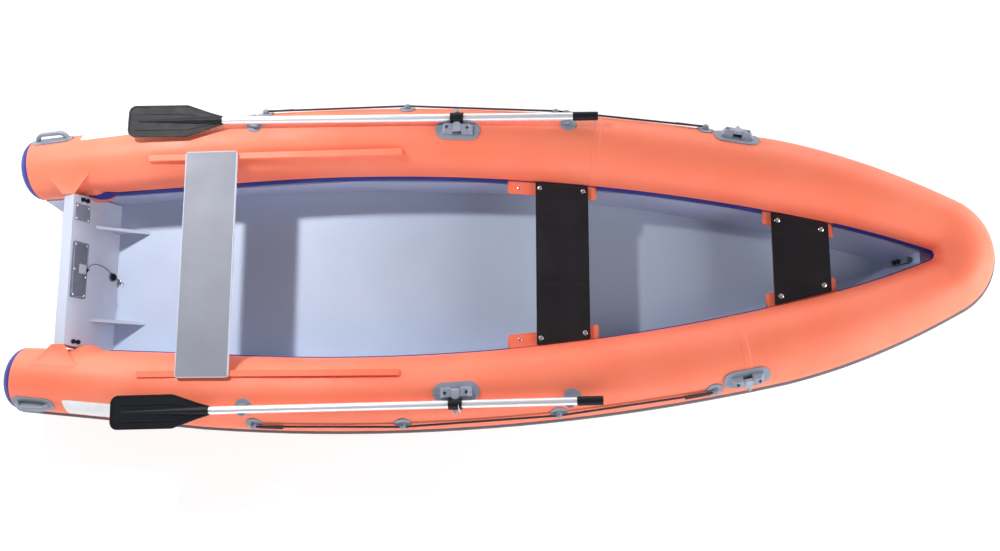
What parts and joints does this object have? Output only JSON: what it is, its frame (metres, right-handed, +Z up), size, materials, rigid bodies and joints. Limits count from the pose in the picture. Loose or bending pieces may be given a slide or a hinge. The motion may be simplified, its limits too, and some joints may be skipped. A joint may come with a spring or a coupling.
{
  "type": "rigid inflatable boat",
  "caption": "Orange rigid inflatable rowing boat with a V hull, tapered side tubes, sliding bench, thwarts, rowlocks and stowed oars, seen afloat and empty.",
  "frame": {"origin": "on the waterline and the centreline, amidships", "axes": "+X towards the bow, +Y to port, +Z up"},
  "size_m": [4.5038, 1.5428, 0.5455],
  "materials": {
    "orange_fabric": "satin",
    "blue_fabric": "satin",
    "grey_rubber": "satin",
    "hull_gelcoat": "gloss",
    "fitting_plastic": "satin",
    "pale_plastic": "satin",
    "black_plastic": "satin",
    "white_plastic": "gloss",
    "bench_board": "satin",
    "film_ply": "satin",
    "alloy_tube": "satin",
    "steel": "satin",
    "dark_rope": "matte",
    "cord": "matte"
  },
  "bodies": {
    "boat": {"tube_port": "orange_fabric", "tube_starboard": "orange_fabric", "tube_bow": "orange_fabric", "stern_caps": "blue_fabric", "lip_tape": "blue_fabric", "rub_strake_port": "grey_rubber", "rub_strake_starboard": "grey_rubber", "rub_strake_bow": "grey_rubber", "hull_bottom": "hull_gelcoat", "hull_side_port": "hull_gelcoat", "hull_side_starboard": "hull_gelcoat", "stem_filling": "hull_gelcoat", "bow_eye": "steel", "bow_eye_caps": "black_plastic", "transom": "hull_gelcoat", "transom_knees": "hull_gelcoat", "transom_eyes": "steel", "transom_eye_caps": "black_plastic", "transom_gussets": "orange_fabric", "transom_cuffs": "orange_fabric", "motor_pad_inner": "fitting_plastic", "motor_pad_outer": "fitting_plastic", "small_plate": "fitting_plastic", "drain_fitting": "fitting_plastic", "drain_plug": "black_plastic", "lanyard_tag": "white_plastic", "lanyard": "cord", "bench_rails": "orange_fabric", "middle_thwart": "film_ply", "front_thwart": "film_ply", "thwart_tabs": "orange_fabric", "rowlock_base_port": "fitting_plastic", "rowlock_base_starboard": "fitting_plastic", "bow_rowlock_base_port": "fitting_plastic", "bow_rowlock_base_starboard": "fitting_plastic", "oar_clips": "fitting_plastic", "lifeline_port": "dark_rope", "lifeline_starboard": "dark_rope", "rope_pads_port": "fitting_plastic", "rope_pads_starboard": "fitting_plastic", "stern_handles": "fitting_plastic", "air_valves": "fitting_plastic"},
    "bench": {"bench": "bench_board", "bench_guides": "black_plastic"},
    "oar_port": {"rowlock_finger_port": "pale_plastic", "oar_shaft_port": "alloy_tube", "oar_blade_port": "black_plastic", "oar_grip_port": "black_plastic", "oar_clamp_port": "black_plastic"},
    "oar_starboard": {"rowlock_finger_starboard": "pale_plastic", "oar_shaft_starboard": "alloy_tube", "oar_blade_starboard": "black_plastic", "oar_grip_starboard": "black_plastic", "oar_clamp_starboard": "black_plastic"},
    "bow_finger_port": {"bow_rowlock_finger_port": "pale_plastic"},
    "bow_finger_starboard": {"bow_rowlock_finger_starboard": "pale_plastic"}
  },
  "joints": [
    {"name": "oar_lift_port", "type": "hinge", "parent": "boat", "child": "oar_port", "pos_m": [-0.124, 0.59, 0.43], "axis": [1, 0, 0], "range_deg": [0, 110]},
    {"name": "oar_lift_starboard", "type": "hinge", "parent": "boat", "child": "oar_starboard", "pos_m": [-0.124, -0.59, 0.43], "axis": [-1, 0, 0], "range_deg": [0, 110]},
    {"name": "bow_finger_lift_port", "type": "hinge", "parent": "boat", "child": "bow_finger_port", "pos_m": [1.13752, 0.55346, 0.3767], "axis": [0.9818, -0.19, 0], "range_deg": [0, 110]},
    {"name": "bow_finger_lift_starboard", "type": "hinge", "parent": "boat", "child": "bow_finger_starboard", "pos_m": [1.13752, -0.55346, 0.3767], "axis": [-0.9818, -0.19, 0], "range_deg": [0, 110]},
    {"name": "bench_slide", "type": "slide", "parent": "boat", "child": "bench", "axis": [1, 0, 0], "range_m": [-0.15, 0.74]}
  ]
}
